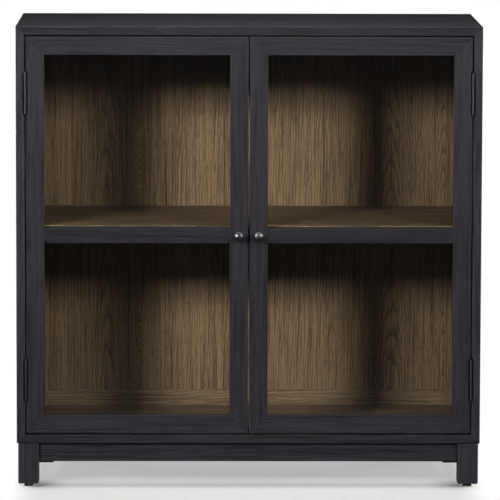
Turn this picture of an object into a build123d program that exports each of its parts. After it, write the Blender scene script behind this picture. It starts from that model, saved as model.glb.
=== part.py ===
from build123d import *
import os

# A two-door glazed cabinet on four short legs, built as a cabinet maker builds it: a mitred
# case, a framed back let in from behind, a leg-and-apron base, a loose shelf on pins, and two
# inset doors with two panes each, hung on butt hinges and held shut by magnetic catches.
#
# X runs along the front, Y from the doors to the back and Z up, in millimetres. The origin is
# on the floor, at the middle of the whole footprint, knobs included. Most places in Y are given
# as a depth behind the case's front face, which behind_face() turns into Y.

# ---- The whole cabinet ----
overall_width = 1016.0
overall_height = 1013.0
case_depth = 457.0

# ---- Case ----
panel_thickness = 19.0
cut_past = 1.0  # how far a cut runs out of the face it opens in

# ---- Back: a frame and a panel, laid in a rebate behind the case ----
back_frame_width = 35.0  # the width of each member that shows inside the case
back_frame_thickness = 16.0
back_panel_thickness = 12.0
back_lap = 9.0  # how far the frame laps over the case's panels
back_panel_lap = 8.0
back_clearance = 0.5
back_recess = 1.0
back_screws_across = 4
back_screws_up = 4
back_screw_length = 30.0

# ---- Base ----
glide_height = 7.0
glide_radius = 12.0
glide_edge = 1.5
glide_recess = 2.5
glide_screw_length = 25.0
leg_height = 91.0
leg_side = 45.0
leg_inset = 3.0
leg_foot_chamfer = 3.0
apron_height = 42.0
apron_thickness = 20.0
apron_setback = 10.0  # behind the legs' outer faces
corner_block_height = 48.0
corner_block_reach = 32.0  # along each apron, past the leg
leg_bolt_radius = 4.0
leg_bolt_in_leg = 28.0
leg_bolt_end = 3.0  # the bolt's end that stands past its nut
leg_nut_across_flats = 13.0
leg_nut_height = 6.5
base_screw_seat = 18.0  # wood left between a base screw's head and the case
base_screw_in_case = 13.0
base_screws_per_apron = 3

# ---- Doors ----
door_gap = 3.0
door_thickness = 22.0
stile_width = 40.0
top_rail_width = 40.0
mid_rail_width = 32.0
bottom_rail_width = 40.0
tenon_length = 30.0
tenon_thickness = 8.0
tenon_shoulder = 2.0  # between a tenon and the glass rebate
glass_setback = 10.0  # wood in front of the glass
glass_thickness = 4.0
glass_lap = 8.0  # the glass rebate's width round each window
glass_clearance = 1.0

# ---- Knobs ----
knob_radius = 10.5
knob_reach = 24.0
knob_base_radius = 6.5
knob_base_height = 2.0
knob_neck_radius = 4.5
knob_neck_height = 14.5  # where the head starts to spread from the neck
knob_rim_height = 3.0
knob_dome_radius = 20.0
knob_screw_radius = 2.0
knob_screw_grip = 9.0
knob_screw_head_radius = 4.0

# ---- Butt hinges ----
hinge_length = 90.0
hinge_below_door_top = 79.0
hinge_above_door_bottom = 73.0
barrel_radius = 3.2
barrel_proud = 1.5  # the hinge pin's axis stands this far in front of the doors
knuckles = 5
knuckle_gap = 0.3
pin_radius = 1.6
pin_running_clearance = 0.05
pin_cap_radius = 2.5
pin_cap_height = 1.0
leaf_width = 18.0
leaf_thickness = 2.0
leaf_spacing = 0.8  # between the two leaves of a closed hinge
leaf_to_barrel_clearance = 0.3
hinge_screw_line = 11.0  # from the pin's axis to the row of screws
hinge_screw_spacing = 30.0
hinge_screw_length = 14.0
relief_half_width = 5.4  # the notch for the barrel, each side of the pin's axis
relief_depth = 3.0
relief_end_clearance = 1.8

# ---- Shelf ----
shelf_thickness = 19.0
shelf_above_mid_rail = 4.5
shelf_end_clearance = 1.0
shelf_behind_doors = 2.5
shelf_before_back = 1.5
shelf_pin_radius = 2.5
shelf_pin_in_panel = 10.0
shelf_tab_length = 10.0
shelf_tab_width = 8.0
shelf_tab_thickness = 5.0
shelf_pin_from_end = 60.0  # from the shelf's front or back edge

# ---- Magnetic catches ----
catch_from_centre = 60.0
catch_width = 26.0
catch_depth = 14.0
catch_height = 14.0
catch_ear = 9.0
catch_ear_thickness = 3.0
catch_screw_length = 14.0
catch_air_gap = 0.3
strike_radius = 5.0
strike_thickness = 1.5
strike_spike_radius = 1.2
strike_spike_length = 9.0
strike_below_door_top = 5.5

# ---- Screws ----
screw_radius = 1.75
screw_head_radius = 3.4
screw_slot_width = 0.8
screw_slot_depth = 0.8
screw_slot_length = 4.0
counterbore_clearance = 0.6

# ---- Places worked out from the sizes above ----
face_y = (knob_reach - case_depth) / 2
half_width = overall_width / 2
inner_half_width = half_width - panel_thickness
case_bottom = glide_height + leg_height
inner_bottom = case_bottom + panel_thickness
inner_top = overall_height - panel_thickness
back_front = case_depth - back_recess - back_frame_thickness

door_bottom = inner_bottom + door_gap
door_top = inner_top - door_gap
door_x = (-inner_half_width + door_gap, -door_gap / 2)
window_x = (door_x[0] + stile_width, door_x[1] - stile_width)
glazed_height = door_top - door_bottom - top_rail_width - mid_rail_width - bottom_rail_width
window_height = glazed_height / 2
lower_window_z = (
    door_bottom + bottom_rail_width,
    door_bottom + bottom_rail_width + window_height,
)
upper_window_z = (door_top - top_rail_width - window_height, door_top - top_rail_width)
mid_rail_z = (lower_window_z[1], upper_window_z[0])

hinge_axis_x = -inner_half_width + door_gap / 2
hinge_axis_y = face_y - barrel_proud
hinge_middles = (
    door_bottom + hinge_above_door_bottom + hinge_length / 2,
    door_top - hinge_below_door_top - hinge_length / 2,
)

shelf_top = upper_window_z[0] + shelf_above_mid_rail
shelf_bottom = shelf_top - shelf_thickness

leg_x = half_width - leg_inset - leg_side / 2
front_leg_depth = leg_inset + leg_side / 2


# ---- Shared shapes ----
def behind_face(near, far):
    """The Y range from near to far behind the case's front face."""
    return (face_y + near, face_y + far)


def block(x, y, z):
    """A square-edged piece that fills the ranges x, y and z, each given as (low, high)."""
    sizes = [high - low for low, high in (x, y, z)]
    middle = [(high + low) / 2 for low, high in (x, y, z)]
    return Pos(*middle) * Box(*sizes)


def front_prism(outline, y):
    """A piece with its (x, z) outline facing the front, that fills the Y range y."""
    corners = [(px, y[0], pz) for px, pz in outline]
    return extrude(make_face(Polyline(*corners, close=True)), amount=y[1] - y[0], dir=(0, 1, 0))


def plan_prism(outline, z):
    """A piece with its (x, y) outline seen from above, that fills the Z range z."""
    corners = [(px, py, z[0]) for px, py in outline]
    return extrude(make_face(Polyline(*corners, close=True)), amount=z[1] - z[0], dir=(0, 0, 1))


def turned(profile):
    """A round piece about Z from its (radius, height) outline, which closes on the axis."""
    corners = [(radius, 0, height) for radius, height in profile]
    return revolve(make_face(Polyline(*corners, close=True)), axis=Axis.Z)


def upright_bar(radius, z):
    """A round bar about Z that fills the Z range z."""
    return turned([(0, z[0]), (radius, z[0]), (radius, z[1]), (0, z[1])])


def placed(piece, point, direction):
    """A piece made about Z at the origin, moved to point with its Z along direction."""
    return Plane(origin=point, z_dir=direction).location * piece


def screw_body(length):
    """A countersunk wood screw along +Z, with its head's face at Z 0 and no slot."""
    head_end = screw_head_radius - screw_radius
    point_start = length - 2 * screw_radius
    return turned(
        [
            (0, 0),
            (screw_head_radius, 0),
            (screw_radius, head_end),
            (screw_radius, point_start),
            (0, length),
        ]
    )


def screw(length):
    """The same screw with a cross slot in its head."""
    depth = (-cut_past, screw_slot_depth)
    narrow = (-screw_slot_width / 2, screw_slot_width / 2)
    wide = (-screw_slot_length / 2, screw_slot_length / 2)
    return screw_body(length) - block(narrow, wide, depth) - block(wide, narrow, depth)


def cut(piece, cutters):
    """The piece with every cutter taken out of it, one after another."""
    for cutter in cutters:
        piece = piece - cutter
    return piece


def mirrored(piece):
    """The piece's twin on the other side of the cabinet."""
    return mirror(piece, about=Plane.YZ)


def save(node, *solids):
    """Writes one node from its solids."""
    shape = solids[0] if len(solids) == 1 else Compound(children=[s.solid() for s in solids])
    export_step(shape, f"parts/{node}.step")


os.makedirs("parts", exist_ok=True)


# ---- Hinges ----
# Each hinge is made about its own pin at the origin, with the door's leaf on the +X side. The
# case's leaf carries knuckles 0, 2 and 4 and holds the pin; the door's leaf turns on it.
def knuckle_z(number):
    """The Z range of one knuckle."""
    pitch = hinge_length / knuckles
    low = -hinge_length / 2 + number * pitch
    return (low + knuckle_gap / 2, low + pitch - knuckle_gap / 2)


def hinge_screw_heights():
    """The heights of a leaf's screws above the hinge's middle."""
    return (-hinge_screw_spacing, 0.0, hinge_screw_spacing)


leaf_end = hinge_length / 2 - knuckle_gap / 2


def leaf(own, others, bore_radius):
    """A leaf on the +X side with its own knuckles, cut clear of the other leaf's."""
    leaf_x = (leaf_spacing / 2, leaf_spacing / 2 + leaf_thickness)
    shape = block(leaf_x, (0, leaf_width), (-leaf_end, leaf_end))
    for number in others:
        low, high = knuckle_z(number)
        room = (low - knuckle_gap, high + knuckle_gap)
        shape = shape - upright_bar(barrel_radius + leaf_to_barrel_clearance, room)
    for number in own:
        shape = shape + upright_bar(barrel_radius, knuckle_z(number))
    shape = shape - upright_bar(bore_radius, (-hinge_length, hinge_length))
    for height in hinge_screw_heights():
        point = (leaf_spacing / 2, hinge_screw_line, height)
        shape = shape - placed(screw_body(hinge_screw_length), point, (1, 0, 0))
    return shape


def hinge_pin():
    """The pin, with a small cap at each end that closes the barrel."""
    bar = upright_bar(pin_radius, (-leaf_end, leaf_end))
    upper_cap = upright_bar(pin_cap_radius, (leaf_end, leaf_end + pin_cap_height))
    lower_cap = upright_bar(pin_cap_radius, (-leaf_end - pin_cap_height, -leaf_end))
    return bar + upper_cap + lower_cap


def leaf_room():
    """What one leaf takes out of the wood it is let into, on the +X side."""
    deep = (0, leaf_spacing / 2 + leaf_thickness)
    return block(deep, (-barrel_radius, leaf_width), (-leaf_end, leaf_end))


def barrel_relief():
    """The notch for the barrel, through the gap and into the wood on both sides of it."""
    end = hinge_length / 2 + pin_cap_height + relief_end_clearance
    across = (-relief_half_width, relief_half_width)
    return block(across, (-barrel_radius, barrel_proud + relief_depth), (-end, end))


def at_hinge(piece, middle):
    """A hinge piece moved to the left door's pin, at that height."""
    return Pos(hinge_axis_x, hinge_axis_y, middle) * piece


case_knuckles = range(0, knuckles, 2)
door_knuckles = range(1, knuckles, 2)
door_leaf = leaf(door_knuckles, case_knuckles, pin_radius + pin_running_clearance)
case_leaf = mirrored(leaf(case_knuckles, door_knuckles, pin_radius))


def leaf_screw_places(direction):
    """Head point and direction of every screw in one left-hand leaf, 1 for the door's leaf."""
    for middle in hinge_middles:
        for height in hinge_screw_heights():
            head_x = hinge_axis_x + direction * leaf_spacing / 2
            point = (head_x, hinge_axis_y + hinge_screw_line, middle + height)
            yield point, (direction, 0, 0)


left_case_leaves = [at_hinge(case_leaf, middle) for middle in hinge_middles]
left_door_leaves = [at_hinge(door_leaf, middle) for middle in hinge_middles]
left_pins = [at_hinge(hinge_pin(), middle) for middle in hinge_middles]
left_case_screws = [
    placed(screw(hinge_screw_length), point, direction)
    for point, direction in leaf_screw_places(-1)
]
left_door_screws = [
    placed(screw(hinge_screw_length), point, direction)
    for point, direction in leaf_screw_places(1)
]
reliefs = [at_hinge(barrel_relief(), middle) for middle in hinge_middles]
door_leaf_rooms = [at_hinge(leaf_room(), middle) for middle in hinge_middles]
case_leaf_rooms = [at_hinge(mirrored(leaf_room()), middle) for middle in hinge_middles]

save("case_hinge_leaves", *left_case_leaves, *[mirrored(p) for p in left_case_leaves])
save("hinge_pins", *left_pins, *[mirrored(p) for p in left_pins])
save("case_hinge_screws", *left_case_screws, *[mirrored(p) for p in left_case_screws])


# ---- Shelf and its pins ----
# The shelf lies loose on four flat-topped pins, so it lifts straight off them.
shelf_depths = (door_thickness + shelf_behind_doors, back_front - shelf_before_back)
shelf_half_length = inner_half_width - shelf_end_clearance
save(
    "shelf",
    block(
        (-shelf_half_length, shelf_half_length),
        behind_face(*shelf_depths),
        (shelf_bottom, shelf_top),
    ),
)


def shelf_pin(depth):
    """One left-hand pin: a round peg in the side panel and a flat tab under the shelf."""
    y = face_y + depth
    peg_middle = shelf_bottom - shelf_tab_thickness / 2
    peg = upright_bar(shelf_pin_radius, (-shelf_pin_in_panel, shelf_tab_length / 2))
    tab = block(
        (-inner_half_width, -inner_half_width + shelf_tab_length),
        (y - shelf_tab_width / 2, y + shelf_tab_width / 2),
        (shelf_bottom - shelf_tab_thickness, shelf_bottom),
    )
    return placed(peg, (-inner_half_width, y, peg_middle), (1, 0, 0)) + tab


left_shelf_pins = [
    shelf_pin(shelf_depths[0] + shelf_pin_from_end),
    shelf_pin(shelf_depths[1] - shelf_pin_from_end),
]
save("shelf_pins", *left_shelf_pins, *[mirrored(p) for p in left_shelf_pins])


# ---- Catches ----
# A magnetic catch hangs under the top panel behind each door's free top corner, held by two
# screws through its ears. Its face stands just clear of a steel strike driven into the door.
catch_front = door_thickness + strike_thickness + catch_air_gap
catch_y = behind_face(catch_front, catch_front + catch_depth)
ear_z = (inner_top - catch_ear_thickness, inner_top)
catch_half = catch_width / 2
ear_half = catch_half + catch_ear


def catch_screw_points():
    """The head points of the left catch's two screws, which point up."""
    for side in (-1, 1):
        x = -catch_from_centre + side * (catch_half + catch_ear / 2)
        yield (x, sum(catch_y) / 2, ear_z[0])


catch_screw_bodies = [
    placed(screw_body(catch_screw_length), point, (0, 0, 1)) for point in catch_screw_points()
]
catch_body = block(
    (-catch_from_centre - catch_half, -catch_from_centre + catch_half),
    catch_y,
    (inner_top - catch_height, inner_top),
)
catch_ears = block(
    (-catch_from_centre - ear_half, -catch_from_centre + ear_half), catch_y, ear_z
)
left_catch = cut(catch_body + catch_ears, catch_screw_bodies)
left_catch_screws = [
    placed(screw(catch_screw_length), point, (0, 0, 1)) for point in catch_screw_points()
]
save("door_catches", left_catch, mirrored(left_catch))
save("catch_screws", *left_catch_screws, *[mirrored(p) for p in left_catch_screws])


# ---- Back ----
# Two stiles and two rails make the back's frame. It lies in a rebate round the back of the
# case, and its panel lies in a rebate in the frame, a little behind the frame's inner face.
back_y = behind_face(back_front, back_front + back_frame_thickness)
back_outer_x = inner_half_width + back_lap - back_clearance
back_outer_z = (
    inner_bottom - back_lap + back_clearance,
    inner_top + back_lap - back_clearance,
)
back_inner_x = inner_half_width - back_frame_width
back_inner_z = (inner_bottom + back_frame_width, inner_top - back_frame_width)
panel_front = back_front + back_frame_thickness - back_panel_thickness
case_rebate = block(
    (-inner_half_width - back_lap, inner_half_width + back_lap),
    behind_face(back_front, case_depth + cut_past),
    (inner_bottom - back_lap, inner_top + back_lap),
)
back_panel_room = block(
    (-back_inner_x - back_panel_lap, back_inner_x + back_panel_lap),
    behind_face(panel_front, case_depth + cut_past),
    (back_inner_z[0] - back_panel_lap, back_inner_z[1] + back_panel_lap),
)
panel_reach = back_panel_lap - back_clearance
back_panel = block(
    (-back_inner_x - panel_reach, back_inner_x + panel_reach),
    behind_face(panel_front, panel_front + back_panel_thickness),
    (back_inner_z[0] - panel_reach, back_inner_z[1] + panel_reach),
)


def spread(low, high, count):
    """count places between low and high, the first and last half a step in from the ends."""
    step = (high - low) / count
    return [low + step * (number + 0.5) for number in range(count)]


def back_screw_points():
    """The head points of the back's screws, round the frame's lapped edge."""
    y = back_y[1]
    line_x = inner_half_width + back_lap / 2
    for z in spread(*back_outer_z, back_screws_up):
        yield (-line_x, y, z)
        yield (line_x, y, z)
    for x in spread(-inner_half_width, inner_half_width, back_screws_across):
        yield (x, y, inner_bottom - back_lap / 2)
        yield (x, y, inner_top + back_lap / 2)


back_screw_bodies = [
    placed(screw_body(back_screw_length), point, (0, -1, 0)) for point in back_screw_points()
]
back_stile = block((-back_outer_x, -back_inner_x), back_y, back_outer_z)
back_rail_x = (-back_inner_x, back_inner_x)
back_bottom_rail = block(back_rail_x, back_y, (back_outer_z[0], back_inner_z[0]))
back_top_rail = block(back_rail_x, back_y, (back_inner_z[1], back_outer_z[1]))
back_cutters = [back_panel_room, *back_screw_bodies]
save("back_panel", back_panel)
save("back_left_stile", cut(back_stile, back_cutters))
save("back_right_stile", cut(mirrored(back_stile), back_cutters))
save("back_bottom_rail", cut(back_bottom_rail, back_cutters))
save("back_top_rail", cut(back_top_rail, back_cutters))
back_screws = [
    placed(screw(back_screw_length), point, (0, -1, 0)) for point in back_screw_points()
]
save("back_screws", *back_screws)


# ---- Base ----
# Four legs stand under the case's corners. Aprons run between them, set back from their outer
# faces, and a corner block behind each pair of aprons takes the bolt that pulls the leg in.
apron_inner = leg_inset + apron_setback + apron_thickness
leg_inner_x = leg_x - leg_side / 2
leg_inner_depth = front_leg_depth + leg_side / 2
apron_z = (case_bottom - apron_height, case_bottom)
block_bottom = case_bottom - corner_block_height
corners = {
    "front_left": (-1, 1),
    "front_right": (1, 1),
    "rear_left": (-1, -1),
    "rear_right": (1, -1),
}


def corner_point(side, end, x, depth):
    """The plan point at x from the middle and depth in from the near end, at that corner."""
    from_face = depth if end > 0 else case_depth - depth
    return (side * x, face_y + from_face)


def corner_block(side, end):
    """The block in a corner: it wraps the leg's inner edge and crosses between the aprons."""
    across = half_width - apron_inner
    plan = [
        (leg_inner_x, apron_inner),
        (leg_inner_x - corner_block_reach, apron_inner),
        (across, leg_inner_depth + corner_block_reach),
        (across, leg_inner_depth),
        (leg_inner_x, leg_inner_depth),
    ]
    outline = [corner_point(side, end, x, depth) for x, depth in plan]
    return plan_prism(outline, (block_bottom, case_bottom))


def leg_bolt_line(side, end):
    """Where the leg's bolt leaves the block, the direction into the leg, and its height."""
    face_x = (leg_inner_x - corner_block_reach + half_width - apron_inner) / 2
    face_depth = (apron_inner + leg_inner_depth + corner_block_reach) / 2
    x, y = corner_point(side, end, face_x, face_depth)
    height = block_bottom + corner_block_height / 2
    return (x, y, height), Vector(side, -end, 0).normalized()


def leg_bolt(side, end):
    """The hanger bolt, from its free end past the nut to its end in the leg."""
    point, inward = leg_bolt_line(side, end)
    corner = corner_point(side, end, leg_inner_x, leg_inner_depth)
    to_leg = (Vector(*corner) - Vector(point[0], point[1])).length
    reach = (-leg_nut_height - leg_bolt_end, to_leg + leg_bolt_in_leg)
    return placed(upright_bar(leg_bolt_radius, reach), point, inward)


def leg_nut(side, end):
    """The hex nut that bears on the corner block's slanting face."""
    point, inward = leg_bolt_line(side, end)
    hexagon = RegularPolygon(leg_nut_across_flats / 2, 6, major_radius=False)
    nut = Pos(0, 0, -leg_nut_height) * extrude(hexagon, amount=leg_nut_height)
    bore = upright_bar(leg_bolt_radius, (-leg_nut_height - cut_past, cut_past))
    return placed(nut - bore, point, inward)


def base_screw_points():
    """Each base screw's plan point and the underside of the piece that it goes up through."""
    for side, end in corners.values():
        near_x = (leg_inner_x + leg_inner_x - corner_block_reach) / 2
        near_depth = apron_inner + (leg_inner_depth - apron_inner) / 2
        yield corner_point(side, end, near_x, near_depth), block_bottom
    apron_middle = apron_inner - apron_thickness / 2
    for end in (1, -1):
        for x in spread(-leg_inner_x, leg_inner_x, base_screws_per_apron):
            yield corner_point(1, end, x, apron_middle), apron_z[0]


base_screw_length = base_screw_seat + base_screw_in_case
head_height = case_bottom - base_screw_seat
base_cutters = []
base_screws = []
for (x, y), underside in base_screw_points():
    head = (x, y, head_height)
    bore_radius = screw_head_radius + counterbore_clearance
    counterbore = Pos(x, y, 0) * upright_bar(bore_radius, (underside - cut_past, head_height))
    base_cutters += [counterbore, placed(screw_body(base_screw_length), head, (0, 0, 1))]
    base_screws.append(placed(screw(base_screw_length), head, (0, 0, 1)))

leg_bolts = {name: leg_bolt(*corner) for name, corner in corners.items()}
corner_blocks = [
    cut(corner_block(*corner), [leg_bolts[name], *base_cutters])
    for name, corner in corners.items()
]
save("corner_blocks", *corner_blocks)
save("leg_bolts", *leg_bolts.values())
save("leg_nuts", *[leg_nut(*corner) for corner in corners.values()])
save("base_screws", *base_screws)

glide_screws = []
for name, (side, end) in corners.items():
    x, y = corner_point(side, end, leg_x, front_leg_depth)
    leg = block(
        (x - leg_side / 2, x + leg_side / 2),
        (y - leg_side / 2, y + leg_side / 2),
        (glide_height, case_bottom),
    )
    leg = chamfer(leg.faces().sort_by(Axis.Z)[0].edges(), leg_foot_chamfer)
    hole = placed(screw_body(glide_screw_length), (x, y, glide_recess), (0, 0, 1))
    glide = Pos(x, y, 0) * turned(
        [
            (0, 0),
            (glide_radius - glide_edge, 0),
            (glide_radius, glide_edge),
            (glide_radius, glide_height),
            (0, glide_height),
        ]
    )
    recess = Pos(x, y, 0) * upright_bar(screw_head_radius, (-cut_past, glide_recess))
    glide_screws.append(placed(screw(glide_screw_length), (x, y, glide_recess), (0, 0, 1)))
    save(f"{name}_leg", cut(leg, [hole, leg_bolts[name]]))
    save(f"{name}_glide", cut(glide, [hole, recess]))
save("glide_screws", *glide_screws)

front_apron = block(
    (-leg_inner_x, leg_inner_x),
    behind_face(leg_inset + apron_setback, apron_inner),
    apron_z,
)
rear_apron = block(
    (-leg_inner_x, leg_inner_x),
    behind_face(case_depth - apron_inner, case_depth - leg_inset - apron_setback),
    apron_z,
)
left_apron = block(
    (-half_width + leg_inset + apron_setback, -half_width + apron_inner),
    behind_face(leg_inner_depth, case_depth - leg_inner_depth),
    apron_z,
)
save("front_apron", cut(front_apron, base_cutters))
save("rear_apron", cut(rear_apron, base_cutters))
save("left_apron", left_apron)
save("right_apron", mirrored(left_apron))


# ---- Case ----
# Four panels of one thickness, mitred at all four corners, with a rebate for the back.
whole_depth = behind_face(0, case_depth)
top_outline = [
    (-half_width, overall_height),
    (half_width, overall_height),
    (inner_half_width, inner_top),
    (-inner_half_width, inner_top),
]
bottom_outline = [
    (-half_width, case_bottom),
    (half_width, case_bottom),
    (inner_half_width, inner_bottom),
    (-inner_half_width, inner_bottom),
]
left_outline = [
    (-half_width, case_bottom),
    (-inner_half_width, inner_bottom),
    (-inner_half_width, inner_top),
    (-half_width, overall_height),
]
left_side_cutters = [
    *left_shelf_pins,
    *[placed(screw_body(hinge_screw_length), *place) for place in leaf_screw_places(-1)],
    *case_leaf_rooms,
    *reliefs,
]
catch_screw_twins = [mirrored(body) for body in catch_screw_bodies]
top_cutters = [case_rebate, *back_screw_bodies, *catch_screw_bodies, *catch_screw_twins]
bottom_cutters = [case_rebate, *back_screw_bodies, *base_cutters]
left_side = cut(front_prism(left_outline, whole_depth), left_side_cutters)
save("top_panel", cut(front_prism(top_outline, whole_depth), top_cutters))
save("bottom_panel", cut(front_prism(bottom_outline, whole_depth), bottom_cutters))
save("left_side_panel", cut(left_side, [case_rebate, *back_screw_bodies]))
save("right_side_panel", cut(mirrored(left_side), [case_rebate, *back_screw_bodies]))


# ---- Doors ----
# The left door is made in place, and the right door is its twin. Its frame is mitred at the
# corners, with tenons inside them, and the mid rail is tenoned between the stiles. Each pane
# lies in a rebate cut from behind, and four beads hold it there.
windows = {"upper": upper_window_z, "lower": lower_window_z}
door_y = behind_face(0, door_thickness)
rear_of_glass = glass_setback + glass_thickness


def round_window(window_z, margin, depths):
    """A slab that overlaps a window by margin all round, through those depths."""
    return block(
        (window_x[0] - margin, window_x[1] + margin),
        behind_face(*depths),
        (window_z[0] - margin, window_z[1] + margin),
    )


def tenons(z):
    """Both tenons of the rail that fills the Z range z, as one bar that runs through it."""
    tenon_front = (door_thickness - tenon_thickness) / 2
    shoulder = glass_lap + tenon_shoulder
    return block(
        (window_x[0] - tenon_length, window_x[1] + tenon_length),
        behind_face(tenon_front, tenon_front + tenon_thickness),
        (z[0] + shoulder, z[1] - shoulder),
    )


def beads(window_z):
    """The four beads behind one pane, flush with the door's back."""
    outer = round_window(window_z, glass_lap, (rear_of_glass, door_thickness))
    box = outer.bounding_box()
    x, z = (box.min.X, box.max.X), (box.min.Z, box.max.Z)
    y = behind_face(rear_of_glass, door_thickness)
    upright_z = (z[0] + glass_lap, z[1] - glass_lap)
    return [
        block(x, y, (z[0], z[0] + glass_lap)),
        block(x, y, (z[1] - glass_lap, z[1])),
        block((x[0], x[0] + glass_lap), y, upright_z),
        block((x[1] - glass_lap, x[1]), y, upright_z),
    ]


rebate_depths = (glass_setback, door_thickness + cut_past)
rebates = [round_window(z, glass_lap, rebate_depths) for z in windows.values()]
rail_z = {
    "top_rail": (door_top - top_rail_width, door_top),
    "mid_rail": mid_rail_z,
    "bottom_rail": (door_bottom, door_bottom + bottom_rail_width),
}
tenon_bars = {name: tenons(z) for name, z in rail_z.items()}

# The knob is a low dome on a short neck, turned about its own axis from its foot on the door
# at Z 0 outwards. Its screw is countersunk in the door's back and passes the mid rail's tenon.
knob_start = (door_x[1] - stile_width / 2, face_y, sum(mid_rail_z) / 2)


def dome_height(radius):
    """The height of the knob's domed face at that distance from its axis."""
    return knob_reach - knob_dome_radius + (knob_dome_radius**2 - radius**2) ** 0.5


rim_top = dome_height(knob_radius)
knob_outline = (
    Polyline(
        (0, 0, knob_reach),
        (0, 0, 0),
        (knob_base_radius, 0, 0),
        (knob_base_radius, 0, knob_base_height),
        (knob_neck_radius, 0, knob_base_height),
        (knob_neck_radius, 0, knob_neck_height),
        (knob_radius, 0, rim_top - knob_rim_height),
        (knob_radius, 0, rim_top),
    )
    + ThreePointArc(
        (knob_radius, 0, rim_top),
        (knob_radius / 2, 0, dome_height(knob_radius / 2)),
        (0, 0, knob_reach),
    )
)
knob_screw_cone_end = knob_screw_head_radius - knob_screw_radius - door_thickness
knob_screw = placed(
    turned(
        [
            (0, -door_thickness),
            (knob_screw_head_radius, -door_thickness),
            (knob_screw_radius, knob_screw_cone_end),
            (knob_screw_radius, knob_screw_grip),
            (0, knob_screw_grip),
        ]
    ),
    knob_start,
    (0, -1, 0),
)
knob = placed(revolve(make_face(knob_outline), axis=Axis.Z), knob_start, (0, -1, 0))

# The strike is a steel disc with a spike, driven into the door's back.
strike_point = (-catch_from_centre, door_y[1], door_top - strike_below_door_top)
strike = placed(
    upright_bar(strike_radius, (0, strike_thickness))
    + turned(
        [
            (0, 0),
            (strike_spike_radius, 0),
            (strike_spike_radius, -strike_spike_length + 2 * strike_spike_radius),
            (0, -strike_spike_length),
        ]
    ),
    strike_point,
    (0, 1, 0),
)



def stile(outer_x, inner_x):
    """An upright of the frame between its outer and inner edges, mitred at both ends."""
    outline = [
        (outer_x, door_bottom),
        (inner_x, lower_window_z[0]),
        (inner_x, upper_window_z[1]),
        (outer_x, door_top),
    ]
    return front_prism(outline, door_y)


def corner_rail(outer_z, inner_z):
    """The frame's top or bottom rail between its outer and inner edges, mitred the same way."""
    outline = [
        (door_x[0], outer_z),
        (door_x[1], outer_z),
        (window_x[1], inner_z),
        (window_x[0], inner_z),
    ]
    return front_prism(outline, door_y)


hinge_stile = stile(door_x[0], window_x[0])
meeting_stile = stile(door_x[1], window_x[1])
rails = {
    "top_rail": corner_rail(door_top, upper_window_z[1]),
    "mid_rail": block(window_x, door_y, mid_rail_z),
    "bottom_rail": corner_rail(door_bottom, lower_window_z[0]),
}
door_screw_bodies = [
    placed(screw_body(hinge_screw_length), *place) for place in leaf_screw_places(1)
]
door_pieces = {
    "hinge_stile": [
        cut(
            hinge_stile,
            [
                *rebates,
                *tenon_bars.values(),
                *door_leaf_rooms,
                *reliefs,
                *door_screw_bodies,
            ],
        )
    ],
    "meeting_stile": [cut(meeting_stile, [*rebates, *tenon_bars.values(), knob_screw])],
    "glazing_beads": [bead for z in windows.values() for bead in beads(z)],
    "knob": [knob - knob_screw],
    "knob_screw": [knob_screw],
    "hinge_leaves": left_door_leaves,
    "hinge_screws": left_door_screws,
    "strike": [strike],
}
for name, rail in rails.items():
    door_pieces[name] = [cut(rail + tenon_bars[name], [*rebates, knob_screw, strike])]
for name, window_z in windows.items():
    pane = round_window(
        window_z, glass_lap - glass_clearance, (glass_setback, rear_of_glass)
    )
    door_pieces[f"{name}_glass"] = [pane]

for name, solids in door_pieces.items():
    save(f"left_door_{name}", *solids)
    save(f"right_door_{name}", *[mirrored(solid) for solid in solids])
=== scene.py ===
"""A two-door glazed cabinet in charcoal oak, brown oak inside, on four short legs.

Lengths are in metres, X runs along the front, Y from the doors to the back and Z up. A board is
worked out as its section carried along its grain, and it remembers where in the trunk it was
sawn, so the rings, pores and streaks of its oak run through it from face to face.
"""

import math

import bmesh
import bpy
import numpy as np
from mathutils import Matrix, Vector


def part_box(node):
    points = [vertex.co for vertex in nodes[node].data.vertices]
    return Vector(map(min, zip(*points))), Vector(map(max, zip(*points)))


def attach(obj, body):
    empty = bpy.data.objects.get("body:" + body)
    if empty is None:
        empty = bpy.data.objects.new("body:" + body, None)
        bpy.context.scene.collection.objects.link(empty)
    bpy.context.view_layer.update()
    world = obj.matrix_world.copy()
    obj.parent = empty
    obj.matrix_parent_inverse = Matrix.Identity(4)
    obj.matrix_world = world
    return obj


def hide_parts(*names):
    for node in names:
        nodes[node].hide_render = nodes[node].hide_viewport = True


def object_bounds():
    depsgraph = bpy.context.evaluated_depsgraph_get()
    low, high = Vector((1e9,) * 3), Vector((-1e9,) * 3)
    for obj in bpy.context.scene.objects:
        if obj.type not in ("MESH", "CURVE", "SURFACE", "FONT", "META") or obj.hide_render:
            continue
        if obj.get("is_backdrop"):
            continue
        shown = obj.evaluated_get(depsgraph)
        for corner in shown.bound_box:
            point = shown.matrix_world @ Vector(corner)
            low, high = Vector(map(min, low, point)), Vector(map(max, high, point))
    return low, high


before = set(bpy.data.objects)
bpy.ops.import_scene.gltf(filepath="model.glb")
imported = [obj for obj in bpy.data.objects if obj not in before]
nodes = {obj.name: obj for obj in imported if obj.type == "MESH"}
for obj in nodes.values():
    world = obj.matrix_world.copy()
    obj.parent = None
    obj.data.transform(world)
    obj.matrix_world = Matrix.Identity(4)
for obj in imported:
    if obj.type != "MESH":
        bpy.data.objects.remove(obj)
cad_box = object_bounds()
scene = bpy.context.scene


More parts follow.
